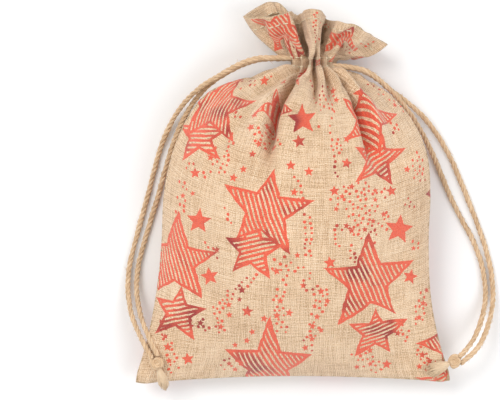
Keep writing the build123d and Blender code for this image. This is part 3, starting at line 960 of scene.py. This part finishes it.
class Paint:
    """Adds shader nodes to one material and links them by short calls."""

    def __init__(self, name):
        self.material = bpy.data.materials.new(name)
        self.material.use_nodes = True
        self.tree = self.material.node_tree
        self.shader = self.tree.nodes["Principled BSDF"]

    def node(self, kind, *values, **settings):
        """A new node with these settings, and these values or links in its inputs from the first one on."""
        node = self.tree.nodes.new("ShaderNode" + kind)
        for key, value in settings.items():
            setattr(node, key, value)
        for socket, value in zip(node.inputs, values):
            self.feed(socket, value)
        return node

    def feed(self, socket, value):
        if isinstance(value, bpy.types.NodeSocket):
            self.tree.links.new(value, socket)
        elif value is not None:
            socket.default_value = value

    def set(self, **values):
        for name, value in values.items():
            self.feed(self.shader.inputs[name.replace("_", " ")], value)

    def math(self, operation, a, b=None, c=None, clamp=False):
        return self.node("Math", a, b, c, operation=operation, use_clamp=clamp).outputs[0]

    times = partialmethod(math, "MULTIPLY")
    times_plus = partialmethod(math, "MULTIPLY_ADD")  # a times b, plus c
    plus = partialmethod(math, "ADD")
    minus = partialmethod(math, "SUBTRACT")
    larger = partialmethod(math, "MAXIMUM")
    under = partialmethod(math, "LESS_THAN")  # 1 where a is less than b, else 0
    over = partialmethod(math, "GREATER_THAN")  # 1 where a is greater than b, else 0

    def vector(self, operation, a, b=None, c=None, scale=None):
        node = self.node("VectorMath", a, b, c, scale, operation=operation)
        single = operation in ("DOT_PRODUCT", "LENGTH")
        return node.outputs["Value" if single else "Vector"]

    def mix(self, factor, a, b):
        """A colour between two colours."""
        node = self.node("Mix", factor, data_type="RGBA")
        self.feed(node.inputs[6], (*a, 1) if isinstance(a, tuple) else a)
        self.feed(node.inputs[7], (*b, 1) if isinstance(b, tuple) else b)
        return node.outputs[2]

    def between(self, factor, a, b):
        """A number between two numbers."""
        return self.node("Mix", factor, None, a, b, data_type="FLOAT").outputs[0]

    def noise(self, place, scale, detail=3.0, roughness=0.5):
        return self.node("TexNoise", place, None, scale, detail, roughness).outputs["Fac"]

    def spread(self, value, low, high, to_low=0.0, to_high=1.0):
        return self.node("MapRange", value, low, high, to_low, to_high).outputs["Result"]

    def swing(self, value, most):
        """The range in which most of a noise lies, spread from -most to most."""
        return self.spread(value, 0.3, 0.7, -most, most)

    def blend(self, tone, tones):
        """The dark, middle and light tone for tone from -0.9 to 0.9."""
        dark, middle, light = tones
        colour = self.mix(self.spread(tone, -0.9, 0.0), dark, middle)
        return self.mix(self.spread(tone, 0.0, 0.9), colour, light)

    def combine(self, x, y, z=0.0):
        return self.node("CombineXYZ", x, y, z).outputs[0]

    def stretched(self, x, x_scale, y, y_scale, z=0.0):
        return self.combine(self.times(x, x_scale), self.times(y, y_scale), z)

    def separate(self, vector):
        return self.node("SeparateXYZ", vector).outputs

    def uv(self, name):
        return self.node("UVMap", uv_map=name).outputs[0]

    def cloth_place(self):
        """Where a point lies on the flat cloth, in millimetres."""
        return self.vector("SCALE", self.uv("flat"), scale=UV_SCALE)

    def bump(self, height, distance):
        node = self.node("Bump")
        self.feed(node.inputs["Height"], height)
        self.feed(node.inputs["Distance"], distance)
        return node.outputs[0]


def star_edge(paint, place, waist):
    """How far outside a five-pointed star of radius 1 a point is, and below zero inside it."""
    x, y, _ = paint.separate(place)
    point = paint.combine(paint.math("ABSOLUTE", x), y)
    for turn in ((STAR_COS, -STAR_SIN, 0), (-STAR_COS, -STAR_SIN, 0)):
        past = paint.larger(paint.vector("DOT_PRODUCT", point, turn), 0.0)
        mirror = (-2 * turn[0], -2 * turn[1], 0)
        point = paint.vector("MULTIPLY_ADD", mirror, paint.combine(past, past), point)
    x, y, _ = paint.separate(point)
    x = paint.math("ABSOLUTE", x)
    y = paint.minus(y, 1.0)
    way = (STAR_SIN * waist, STAR_COS * waist - 1)
    long = math.hypot(*way)
    return paint.times_plus(y, way[0] / long, paint.times(x, -way[1] / long))


def weave(paint, flat, pitch):
    """The height of a plain weave, 0 to 1, and which of its two threads lies on top, -1 to 1."""
    x, y, _ = paint.separate(flat)
    drift = paint.noise(flat, 0.12, 2.0)
    x = paint.times_plus(drift, 2.2, x)
    y = paint.times_plus(drift, -1.8, y)
    a = paint.math("COSINE", paint.times(x, math.pi / pitch))
    b = paint.math("COSINE", paint.times(y, math.pi / pitch))
    top = paint.times(a, b)
    return paint.math("ABSOLUTE", top), top


def jute_cloth(paint, flat, tones):
    """The bare cloth: a linen-like plain weave with slubs, and painted shade in the low places of the weave.

    Returns its colour, its relief, the height of the weave alone and the noise of its flecks.
    """
    x, y, _ = paint.separate(flat)
    height, top = weave(paint, flat, 0.78)
    warp = paint.noise(paint.stretched(x, 1.28, y, 0.085), 1.0, 2.0, 0.6)
    weft = paint.noise(paint.stretched(x, 0.08, y, 1.28, 9.0), 1.0, 2.0, 0.6)
    threads = paint.times_plus(paint.spread(top, -0.5, 0.5), paint.minus(warp, weft), weft)
    fleck = paint.noise(flat, 1.9, 2.0, 0.7)
    cloud = paint.noise(flat, 0.045, 3.0, 0.55)
    tone = paint.plus(paint.swing(threads, 0.6), paint.swing(fleck, 0.5))
    tone = paint.plus(tone, paint.swing(cloud, 0.18))
    # Painted shade: the cloth is darker where the weave is low, between the crowns of the threads.
    tone = paint.plus(tone, paint.spread(height, 0.0, 0.6, -0.4, 0.25))
    relief = paint.times_plus(paint.spread(threads, 0.3, 0.7), 0.5, height)
    return paint.blend(tone, tones), relief, height, fleck


def hatched_stars(paint, flat, wobble, ragged, name, line, way, pitch, share):
    """The stars of one UV map, outlined and hatched in lines across way: all inside them, and their ink."""
    shift = paint.stretched(wobble, 0.10, ragged, 0.02)
    edge = star_edge(paint, paint.vector("ADD", paint.uv(name), shift), 0.44)
    inside = paint.under(edge, 0.0)
    outline = paint.over(edge, paint.times_plus(wobble, 0.05, -line))
    slow = paint.noise(flat, 0.05, 1.0)
    across = paint.times_plus(slow, 3.0, paint.vector("DOT_PRODUCT", flat, way))
    across = paint.times_plus(wobble, 0.5, across)
    wave = paint.math("FRACT", paint.math("DIVIDE", across, pitch))
    limit = paint.times_plus(paint.noise(flat, 0.1, 2.0), 0.5, share - 0.25)
    limit = paint.times_plus(ragged, 0.3, limit)
    stripe = paint.under(wave, limit)
    return inside, paint.times(inside, paint.larger(outline, stripe))


def print_mask(paint, flat):
    """1 where the cloth is printed: large stars over their partners, then solid stars and dots."""
    wobble = paint.minus(paint.noise(flat, 0.22, 2.0), 0.5)
    ragged = paint.minus(paint.noise(flat, 1.6, 2.0, 0.6), 0.5)
    large_in, large = hatched_stars(
        paint, flat, wobble, ragged, "star_large", 0.058, (0.906, 0.423, 0), 1.95, 0.62
    )
    partner_in, partner = hatched_stars(
        paint, flat, wobble, ragged, "star_partner", 0.085, (-0.36, 0.93, 0), 1.9, 0.58
    )
    hatched = paint.times_plus(paint.minus(1.0, large_in), partner, large)
    shift = paint.combine(paint.times(ragged, 0.14), 0.0)
    solid = star_edge(paint, paint.vector("ADD", paint.uv("star_solid"), shift), 0.45)
    solid = paint.under(solid, 0.0)
    dots = paint.vector("LENGTH", paint.uv("star_dot"))
    dots = paint.under(dots, paint.times_plus(ragged, 0.5, 0.95))
    free = paint.minus(1.0, paint.larger(large_in, partner_in))
    return paint.larger(hatched, paint.times(free, paint.larger(solid, dots)))


def printed_material():
    """Printed jute: stars in red foil ink that misses the low places of the weave, with large patches of
    painted dark reflection in the foil.
    """
    paint = Paint("printed_jute")
    flat = paint.cloth_place()
    colour, relief, height, fleck = jute_cloth(paint, flat, FRONT_TONES)
    reached = paint.over(paint.plus(height, paint.times(fleck, 0.5)), 0.26)
    mask = paint.times(print_mask(paint, flat), paint.between(reached, 0.62, 1.0))
    # Painted reflection: this noise lays large patches of dark reflection over the red foil.
    foil = paint.noise(flat, 0.055, 2.0, 0.55)
    grain = paint.noise(flat, 0.9, 2.0, 0.6)
    # Darker red from fine specks in the ink, plus the large patches of painted dark reflection.
    speckle_and_dark_reflection = paint.spread(grain, 0.55, 0.8, 0.0, 0.5)
    speckle_and_dark_reflection = paint.math("ADD", paint.spread(foil, 0.52, 0.66), speckle_and_dark_reflection, clamp=True)
    red = paint.mix(paint.spread(grain, 0.35, 0.65), (0.8, 0.085, 0.034), (0.9, 0.15, 0.07))
    red = paint.mix(speckle_and_dark_reflection, red, (0.36, 0.018, 0.012))
    rough = paint.between(mask, 0.92, paint.spread(grain, 0.3, 0.7, 0.38, 0.55))
    paint.set(Base_Color=paint.mix(mask, colour, red), Roughness=rough, Metallic=paint.times(mask, 0.25))
    paint.set(Normal=paint.bump(relief, 0.00022), Sheen_Weight=0.25, Sheen_Roughness=0.6)
    return paint.material


def reverse_material():
    """The unprinted side of the cloth."""
    paint = Paint("reverse_jute")
    colour, relief, _, _ = jute_cloth(paint, paint.cloth_place(), REVERSE_TONES)
    paint.set(Base_Color=colour, Roughness=0.94, Normal=paint.bump(relief, 0.00025), Sheen_Weight=0.2)
    return paint.material


def cord_material(name, tones):
    """Twisted jute: streaks of fibre along each ply."""
    paint = Paint(name)
    along, around, _ = paint.separate(paint.uv("lay"))
    slant = paint.times_plus(along, 0.9, around)
    streak = paint.noise(paint.stretched(along, 1.6, slant, 9.0), 1.0, 4.0, 0.65)
    patch = paint.noise(paint.stretched(along, 0.7, around, 0.8), 1.0, 2.0)
    fine = paint.noise(paint.stretched(along, 5.0, slant, 34.0), 1.0, 2.0)
    tone = paint.plus(paint.swing(streak, 0.55), paint.swing(patch, 0.3))
    tone = paint.plus(tone, paint.swing(fine, 0.25))
    relief = paint.times_plus(fine, 0.5, streak)
    paint.set(Base_Color=paint.blend(tone, tones), Roughness=0.88, Normal=paint.bump(relief, 0.00018))
    paint.set(Sheen_Weight=0.3, Sheen_Roughness=0.5)
    return paint.material


def thread_material():
    """Spun sewing thread, with painted light and shade on the turns of its twist."""
    paint = Paint("sewing_thread")
    along, around, _ = paint.separate(paint.uv("lay"))
    twist = paint.math("FRACT", paint.times_plus(along, 14.0, around))
    fuzz = paint.noise(paint.combine(paint.times(along, 30.0), around), 1.0, 2.0)
    # Painted shade: each turn of the twist is lighter in its middle and darker where it meets the next.
    tone = paint.times_plus(fuzz, 0.5, paint.math("PINGPONG", twist, 0.5))
    colour = paint.mix(paint.spread(tone, 0.1, 0.8), (0.55, 0.42, 0.25), (0.86, 0.78, 0.6))
    paint.set(Base_Color=colour, Roughness=0.7, Normal=paint.bump(tone, 0.0001))
    return paint.material


def tissue_material():
    """Thin crumpled paper, darker in the low places of its crumples: painted shade."""
    paint = Paint("tissue")
    place = paint.node("TexCoord").outputs["Object"]
    crumple_relief_and_shade = paint.noise(place, 260.0, 3.0, 0.6)
    fibre = paint.noise(place, 2400.0, 2.0, 0.6)
    # Painted shade: the crumples' relief also darkens the colour where it is low.
    tone = paint.times_plus(fibre, 0.4, crumple_relief_and_shade)
    colour = paint.mix(paint.spread(tone, 0.4, 1.0), (0.78, 0.76, 0.7), (0.93, 0.92, 0.88))
    paint.set(Base_Color=colour, Roughness=0.75, Normal=paint.bump(crumple_relief_and_shade, 0.0006))
    return paint.material


# ---------------------------------------------------------------- small pieces on the cloth

def belongs(piece, body, slot, *nodes):
    """Parents a piece to the body it rides on and hides the CAD nodes that it replaces; slot, its material
    slot, is not used.
    """
    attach(piece, body)
    if nodes:
        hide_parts(*nodes)
    return piece


def at_height(grid, v, height):
    """The line across a panel at a height on the flat cloth."""
    low = int(np.searchsorted(v, height)) - 1
    part = (height - v[low]) / (v[low + 1] - v[low])
    return grid[low] * (1 - part) + grid[low + 1] * part


def stitch_row(parts, line, rng, length=2.3, gap=1.1, radius=0.26):
    """Separate stitches along a line that lies on the cloth, each one dipping in at its ends."""
    total = line_length(line)
    run = distances(line)
    count = int(total / (length + gap))
    for k in range(count):
        begin = (k + 0.5) * total / count - length / 2 + rng.uniform(-0.12, 0.12)
        stitch = points_at(line, run, np.linspace(begin, begin + length, 7))
        add_tube(parts, stitch, radius * np.array((0.35, 0.85, 1, 1, 1, 0.85, 0.35)), 6)


def row_on(panels, height, lift):
    """The line round the sack at a height, front and then back, lifted off the cloth along its normals."""
    lines = []
    for grid, _, v, sign in panels:
        raised = grid + surface_normals(grid, sign) * lift
        row = at_height(raised, v, height)
        lines.append(row[2:-2] if sign > 0 else row[2:-2][::-1])
    return lines


def make_stitches(panels, material):
    """The stitch rows of the hem, inside and out, and of the casing."""
    rng = np.random.default_rng(3)
    hem = new_parts()
    for lift in (0.12, -CLOTH - 1.05):
        for line in row_on(panels, HEM_LINE, lift):
            stitch_row(hem, line, rng)
    casing = new_parts()
    for height in (BODY + 0.6, BODY + CASING - 0.6):
        for line in row_on(panels, height, 0.1):
            stitch_row(casing, line, rng, length=2.0, gap=1.0)
    return [
        belongs(tube_object("hem_stitches", hem, material), "sack", "sewing_thread", "hem_thread"),
        belongs(tube_object("casing_stitches", casing, material), "sack", "sewing_thread", "casing_thread"),
    ]


def make_overlock(panels, material):
    """The overlocked thread on the seam allowances inside the two sides and the bottom."""
    (front, u, v, _), (back, _, _, _) = panels
    front = front - surface_normals(front, 1) * (CLOTH + 0.5)
    back = back - surface_normals(back, -1) * (CLOTH + 0.5)
    rows = np.nonzero((v > 14) & (v < 132))[0]
    columns = np.nonzero(np.abs(u) < 54)[0]
    pieces = []
    for side, one, two, three in (
        ("left", front[rows, 4], back[rows, 4], front[rows, 8]),
        ("right", front[rows, -5], back[rows, -5], front[rows, -9]),
        ("bottom", front[5, columns], back[5, columns], front[9, columns]),
    ):
        even = slice(0, 2 * (len(one) // 2), 2)
        odd = slice(1, 2 * (len(one) // 2), 2)
        outer = one[even] * 0.6 + two[even] * 0.4
        inner = (one + three)[odd] / 2 * 0.5 + two[odd] * 0.5
        line = np.stack([outer, inner], 1).reshape(-1, 3)
        parts = new_parts()
        add_tube(parts, line, np.full(len(line), 0.25), 6)
        piece = tube_object(side + "_seam_overlock", parts, material)
        pieces.append(belongs(piece, "sack", "sewing_thread", side + "_seam_thread"))
    return pieces


def make_hem(panels, layout, materials):
    """The top edge of the cloth, turned in and stitched down inside the mouth."""
    points = []
    faces = []
    flats = []
    for grid, u, v, sign in panels:
        top = np.nonzero(v >= HEM_LINE - 1.2)[0]
        normal = surface_normals(grid, sign)[top]
        depth = CLOTH + 0.25 + 0.3 * np.minimum((v[top] - v[-1]) / -1.5, 1)
        strip = grid[top] - normal * depth[:, None, None]
        base = sum(len(p) for p in points)
        index = base + np.arange(strip.shape[0] * strip.shape[1]).reshape(strip.shape[:2])
        points.append(strip.reshape(-1, 3))
        faces.append(quads(index, sign > 0))
        flats.append(flat_points(u, 2 * v[-1] - v[top]).reshape(-1, 2))
    faces = np.vstack(faces)
    mesh = new_mesh("hem_fold", np.vstack(points), faces.tolist())
    corners = np.vstack(flats)[faces.ravel()]
    write_uv(mesh, "flat", corners / UV_SCALE)
    for name in layout:
        write_uv(mesh, name, np.full_like(corners, 5.0))  # away from every star: the hem is not printed
    return belongs(thick_cloth("hem_fold", mesh, materials, 0.35), "sack", "printed_jute")


def make_tissue(panels, material):
    """Crumpled tissue that fills the body and keeps it round."""
    rng = np.random.default_rng(5)
    (front, u, v, _), (back, _, _, _) = panels
    rows = np.nonzero((v > 13) & (v < 98))[0][::3]
    columns = np.nonzero(np.abs(u) < 56)[0][::3]
    coarse = np.ix_(rows, columns)
    middle = (front[coarse] + back[coarse]) / 2
    middle[..., 0] = middle[..., 0].mean(1, keepdims=True)
    sheets = []
    for grid in (front, back):
        shrunk = middle + (grid[coarse] - middle) * (0.9, 1.0, 0.78)
        crumple = rng.uniform(-1, 1, shrunk.shape) * (0.5, 0.5, 0.8)
        sheets.append((shrunk + crumple).reshape(-1, 3))
    count = len(rows) * len(columns)
    index = np.arange(count).reshape(len(rows), len(columns))
    other = index + count
    ring = np.concatenate([index[0, :-1], index[:-1, -1], index[-1, :0:-1], index[:0:-1, 0]])
    nxt = np.roll(ring, -1)
    sides = np.stack([ring, ring + count, nxt + count, nxt], 1)
    faces = np.vstack([quads(index, False), quads(other, True), sides])
    mesh = new_mesh("tissue", np.vstack(sheets), faces.tolist())
    mesh.materials.append(material)
    tissue = belongs(place("crumpled_tissue", mesh), "sack", "tissue", "tissue_filling")


# ---------------------------------------------------------------- the sack and its cords

def make_sack(print_material, reverse, thread, paper):
    """Both panels of cloth with their thread and hem, and the filling."""
    u, v, front, back = start_cloth()
    front, back = settle_cloth(u, v, front, back)
    panels = []
    layout = None
    for name, grid, sign, nodes in (
        ("front_cloth", front, 1, ("front_panel", "front_casing", "front_header")),
        ("back_cloth", back, -1, ("back_panel", "back_casing", "back_header")),
    ):
        fine, across, up = finished_grid(grid, sign)
        panels.append((fine, across, up, sign))
        layout = print_layout(Locator(fine, across, up)) if layout is None else turned_layout(layout)
        panel = panel_object(name, fine, across, up, sign, (print_material, reverse), layout)
        belongs(panel, "sack", "printed_jute", *nodes)
    small = make_stitches(panels, thread) + make_overlock(panels, thread)
    small.append(make_hem(panels, layout, (print_material, reverse)))
    make_tissue(panels, paper)


def axes_of(way):
    """Unit directions ahead along way, level to its side, and up from it."""
    ahead = np.array(way, float) / np.linalg.norm(way)
    side = np.cross(ahead, (0, 0, 1.0))
    side /= np.linalg.norm(side)
    return ahead, side, np.cross(side, ahead)


def knot_piece(side_name, centre, way, sizes, material, seed):
    """An overhand knot drawn up tight in the doubled cord. way points from the knot along the cord."""
    rng = np.random.default_rng(seed)
    t = np.linspace(0, 2 * math.pi, 160)
    trefoil = [np.sin(t) + 2 * np.sin(2 * t), np.cos(t) - 2 * np.cos(2 * t), -np.sin(3 * t)]
    loop = np.stack(trefoil, 1) / 3.0 * np.array(sizes)
    ahead, side, top = axes_of(way)
    line = np.array(centre) + loop[:, :1] * side + loop[:, 1:2] * top + loop[:, 2:] * ahead
    parts = new_parts()
    add_plies(parts, line, rng, thickness=2.5, pitch=6.5)
    add_fibres(parts, evenly(line, 160), 26, 1.5, rng)
    knot = tube_object(side_name + "_overhand_knot", parts, material)
    return belongs(knot, side_name + "_tail", "jute_cord", side_name + "_knot")


def tuft_piece(side_name, centre, tip, spread, taper, material, seed):
    """The frayed ends beyond a knot: combed-out fibres. taper is how far they close up again at the tip."""
    rng = np.random.default_rng(seed)
    centre = np.array(centre)
    way = np.array(tip) - centre
    length = np.linalg.norm(way)
    ahead, side, top = axes_of(way)
    t = np.linspace(0, 1, 14)[:, None]
    parts = new_parts()
    for _ in range(TUFT_FIBRES):
        a = np.clip(rng.normal(0, 0.5), -1, 1)
        b = rng.uniform(-1, 1) * math.sqrt(1 - a * a * 0.9)
        reach = length * rng.uniform(0.72, 1.03) * (1 - 0.12 * abs(a))
        wide = a * spread * (t**0.8 * (1 - taper * t**2.2))
        wave = 0.22 * np.sin(t * rng.uniform(5, 11) + rng.uniform(0, 6)) * t
        tall = b * 1.35 * (0.5 + 0.5 * t * (1 - 0.3 * t))
        hair = centre + ahead * (1.6 + (reach - 1.6) * t) + side * (wide + wave) + top * (tall - 0.5 * t**2)
        thick = rng.uniform(0.16, 0.34)
        add_tube(parts, hair, thick * (1 - 0.55 * t[:, 0] ** 2), 5, lane=rng.uniform(0, 1))
    tuft = tube_object(side_name + "_frayed_end", parts, material)
    return belongs(tuft, side_name + "_tail", "jute_cord", side_name + "_tuft")


def make_cords(jute, frayed):
    """Four strands, and the knot and frayed end that each pair of them ends in."""
    ends = {
        "left": (
            knot_piece("left", LEFT_KNOT, (-0.3, 1.0, 0.0), (1.9, 1.7, 4.2), jute, 21),
            tuft_piece("left", LEFT_KNOT, LEFT_TIP, 2.7, 0.3, frayed, 22),
        ),
        "right": (
            knot_piece("right", RIGHT_KNOT, (1.0, 0.5, 0.0), (1.9, 1.7, 4.6), jute, 23),
            tuft_piece("right", RIGHT_KNOT, RIGHT_TIP, 3.3, 0.1, frayed, 24),
        ),
    }
    routes = (
        ("left_outer_strand", LEFT_OUTER, "left", ("left_outer_tail",), 11),
        ("left_inner_strand", LEFT_INNER, "left", ("left_inner_tail", "left_cord_loop"), 12),
        ("right_inner_strand", RIGHT_INNER, "right", ("right_inner_tail", "right_cord_loop"), 13),
        ("right_outer_strand", RIGHT_OUTER, "right", ("right_outer_tail",), 14),
    )
    for name, points, side, nodes, seed in routes:
        strand, line = cord_piece(name, points, jute, seed)
        swing = LEFT_SWING if side == "left" else RIGHT_SWING
        k = int(np.argmin(np.linalg.norm(line[:, :2] - np.array(swing), axis=1)))
        way = line[min(k + 5, len(line) - 1)] - line[max(k - 5, 0)]
        way = way / np.linalg.norm(way)
        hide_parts(*nodes)
        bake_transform(strand)
        ends.pop(side, ())


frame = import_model()
make_camera()
make_stage()
jute = cord_material("jute_cord", JUTE_TONES)
cloth_face = printed_material()
cloth_back = reverse_material()
frayed = cord_material("frayed_jute", FRAYED_TONES)
make_cords(jute, frayed)
make_sack(cloth_face, cloth_back, thread_material(), tissue_material())
